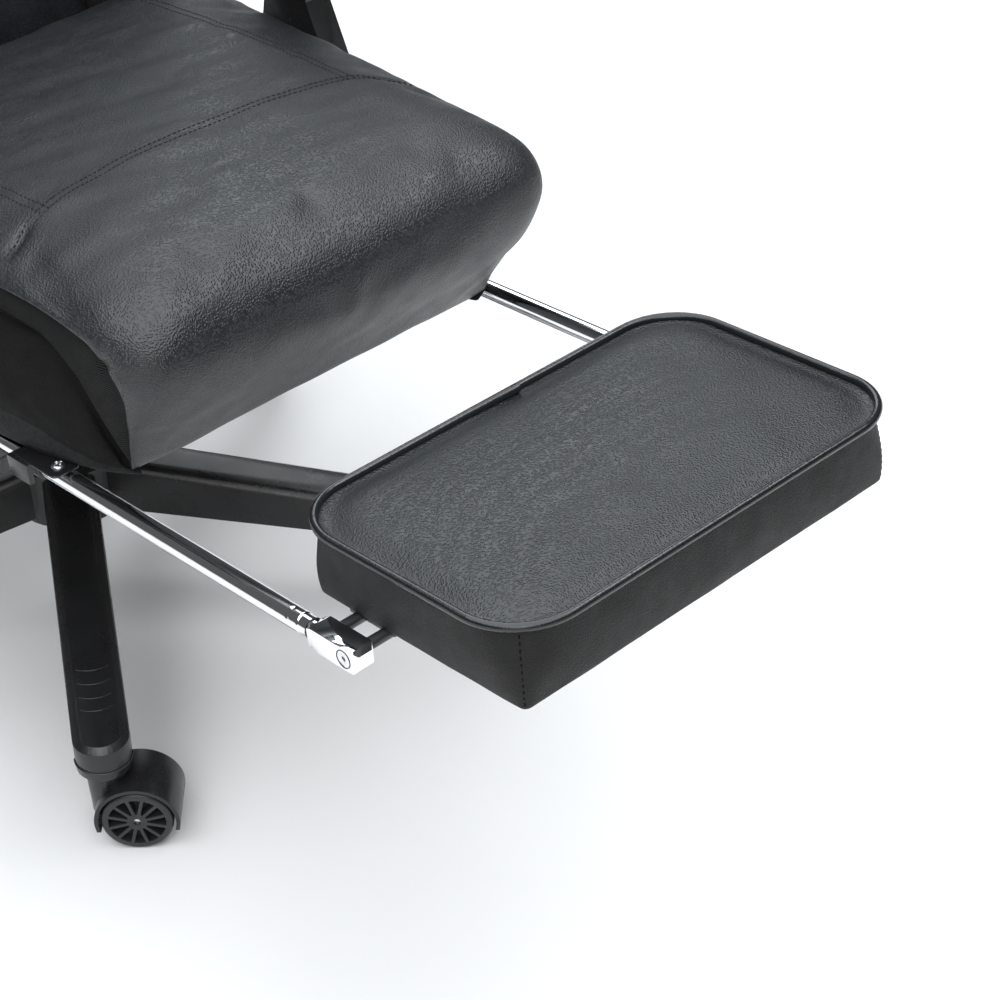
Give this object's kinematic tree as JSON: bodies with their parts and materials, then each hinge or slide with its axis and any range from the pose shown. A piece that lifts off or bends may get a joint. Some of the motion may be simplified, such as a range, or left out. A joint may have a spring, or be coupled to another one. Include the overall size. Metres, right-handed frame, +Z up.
{
  "type": "reclining office chair",
  "caption": "Padded high-back desk chair with armrests, star base on casters, gas lift, rocking mechanism, reclining backrest and a footrest pad that slides out and flips over.",
  "frame": {"origin": "on the floor, on the swivel axis of the gas lift", "axes": "+Z up, -Y is the way the sitter faces, +X is the sitter's left"},
  "size_m": [0.6816, 1.1345, 1.1646],
  "materials": {
    "leather": "grained, satin",
    "nylon": "moulded, satin",
    "wheel_nylon": "moulded, satin",
    "chrome": "polished",
    "zinc_steel": "zinc plated",
    "black_steel": "black, satin",
    "black_fabric": "black non-woven cover over plywood",
    "board": "raw plywood"
  },
  "bodies": {
    "base": {"base_star": "nylon", "caster_stems": "zinc_steel", "lift_tube": "black_steel", "lift_rod": "zinc_steel", "lift_clip": "zinc_steel", "cover_lower": "nylon"},
    "caster_1": {"caster_1_hood": "nylon", "caster_1_axle": "zinc_steel"},
    "wheels_1": {"caster_1_wheels": "wheel_nylon"},
    "caster_2": {"caster_2_hood": "nylon", "caster_2_axle": "zinc_steel"},
    "wheels_2": {"caster_2_wheels": "wheel_nylon"},
    "caster_3": {"caster_3_hood": "nylon", "caster_3_axle": "zinc_steel"},
    "wheels_3": {"caster_3_wheels": "wheel_nylon"},
    "caster_4": {"caster_4_hood": "nylon", "caster_4_axle": "zinc_steel"},
    "wheels_4": {"caster_4_wheels": "wheel_nylon"},
    "caster_5": {"caster_5_hood": "nylon", "caster_5_axle": "zinc_steel"},
    "wheels_5": {"caster_5_wheels": "wheel_nylon"},
    "cover_stage": {"cover_middle": "nylon"},
    "lift": {"cover_upper": "nylon", "lift_piston": "black_steel"},
    "lift_valve_button": {"lift_button": "zinc_steel"},
    "mechanism": {"tilt_housing": "black_steel", "rock_pin": "zinc_steel"},
    "height_lever": {"height_lever": "black_steel", "height_lever_grip": "nylon"},
    "tension_knob": {"tension_knob": "nylon"},
    "seat": {"seat_plate": "black_steel", "frame_bolts": "zinc_steel", "seat_pan": "black_fabric", "seat_cushion": "leather", "seat_side_left": "leather", "seat_side_right": "leather", "side_plate_left": "black_steel", "side_plate_right": "black_steel", "rod_guides": "nylon", "guide_screws": "zinc_steel", "arm_post_left": "nylon", "arm_post_right": "nylon", "arm_pad_left": "leather", "arm_pad_right": "leather", "recliner_pins": "zinc_steel", "recliner_covers": "nylon"},
    "footrest": {"footrest_rods": "chrome", "rod_heads": "chrome", "rod_stops": "black_steel"},
    "pad": {"pad_board": "black_fabric", "pad_hinge_bars": "black_steel", "pivot_screws": "zinc_steel", "pad_cushion": "leather"},
    "back": {"back_board": "board", "back_cushion": "leather", "back_bolsters": "leather", "head_cushion": "leather", "rear_cover": "leather", "recliner_arms": "black_steel"},
    "recline_lever": {"recline_lever": "nylon"}
  },
  "joints": [
    {"name": "caster_1_swivel", "type": "hinge", "parent": "base", "child": "caster_1", "pos_m": [-0.1668, -0.27543, 0.058], "axis": [0, 0, 1], "continuous": true},
    {"name": "caster_1_roll", "type": "hinge", "parent": "caster_1", "child": "wheels_1", "pos_m": [-0.15046, -0.29015, 0.0275], "axis": [0.6691, 0.7431, 0], "continuous": true},
    {"name": "caster_2_swivel", "type": "hinge", "parent": "base", "child": "caster_2", "pos_m": [0.2104, -0.24375, 0.058], "axis": [0, 0, 1], "continuous": true},
    {"name": "caster_2_roll", "type": "hinge", "parent": "caster_2", "child": "wheels_2", "pos_m": [0.22675, -0.25847, 0.0275], "axis": [0.6691, 0.7431, 0], "continuous": true},
    {"name": "caster_3_swivel", "type": "hinge", "parent": "base", "child": "caster_3", "pos_m": [0.29684, 0.12478, 0.058], "axis": [0, 0, 1], "continuous": true},
    {"name": "caster_3_roll", "type": "hinge", "parent": "caster_3", "child": "wheels_3", "pos_m": [0.30784, 0.14383, 0.0275], "axis": [-0.866, 0.5, 0], "continuous": true},
    {"name": "caster_4_swivel", "type": "hinge", "parent": "base", "child": "caster_4", "pos_m": [-0.02694, 0.32087, 0.058], "axis": [0, 0, 1], "continuous": true},
    {"name": "caster_4_roll", "type": "hinge", "parent": "caster_4", "child": "wheels_4", "pos_m": [-0.0106, 0.30615, 0.0275], "axis": [0.6691, 0.7431, 0], "continuous": true},
    {"name": "caster_5_swivel", "type": "hinge", "parent": "base", "child": "caster_5", "pos_m": [-0.31349, 0.07353, 0.058], "axis": [0, 0, 1], "continuous": true},
    {"name": "caster_5_roll", "type": "hinge", "parent": "caster_5", "child": "wheels_5", "pos_m": [-0.29714, 0.05881, 0.0275], "axis": [0.6691, 0.7431, 0], "continuous": true},
    {"name": "lift_slide", "type": "slide", "parent": "base", "child": "lift", "axis": [0, 0, 1], "range_m": [0, 0.08]},
    {"name": "cover_slide", "type": "slide", "parent": "base", "child": "cover_stage", "axis": [0, 0, 1], "range_m": [0, 0.04]},
    {"name": "seat_swivel", "type": "hinge", "parent": "lift", "child": "mechanism", "pos_m": [0, 0, 0.3], "axis": [0, 0, 1], "continuous": true},
    {"name": "valve_press", "type": "slide", "parent": "lift", "child": "lift_valve_button", "axis": [0, 0, 1], "range_m": [-0.0036, 0]},
    {"name": "height_lever_lift", "type": "hinge", "parent": "mechanism", "child": "height_lever", "pos_m": [-0.0605, 0.024, 0.319], "axis": [0, 1, 0], "range_deg": [0, 3.2], "stiffness_Nm_per_rad": 8, "springref_deg": -3.44},
    {"name": "tension_turn", "type": "hinge", "parent": "mechanism", "child": "tension_knob", "pos_m": [0, -0.084, 0.235], "axis": [0, 0, 1], "range_deg": [-720, 720]},
    {"name": "seat_rock", "type": "hinge", "parent": "mechanism", "child": "seat", "pos_m": [0, -0.04, 0.315], "axis": [-1, 0, 0], "range_deg": [0, 8], "stiffness_Nm_per_rad": 150, "springref_deg": -14.32},
    {"name": "footrest_slide", "type": "slide", "parent": "seat", "child": "footrest", "axis": [0, 0.9962, -0.0872], "range_m": [0, 0.25]},
    {"name": "footrest_flip", "type": "hinge", "parent": "footrest", "child": "pad", "pos_m": [0, -0.60811, 0.38448], "axis": [1, 0, 0], "range_deg": [0, 180]},
    {"name": "recline", "type": "hinge", "parent": "seat", "child": "back", "pos_m": [0, 0.13763, 0.39482], "axis": [-1, 0, 0], "range_deg": [0, 50], "stiffness_Nm_per_rad": 20, "springref_deg": -17.19},
    {"name": "recline_lever_lift", "type": "hinge", "parent": "seat", "child": "recline_lever", "pos_m": [-0.252, 0.13763, 0.39482], "axis": [-1, 0, 0], "range_deg": [0, 20], "stiffness_Nm_per_rad": 1.5, "springref_deg": -17.19}
  ],
  "couplings": [
    {"joint": "cover_slide", "follows": "lift_slide", "ratio": 0.5},
    {"joint": "valve_press", "follows": "height_lever_lift", "m_per_rad": -0.0635},
    {"joint": "footrest_flip", "follows": "footrest_slide", "rad_per_m": 12.566}
  ]
}
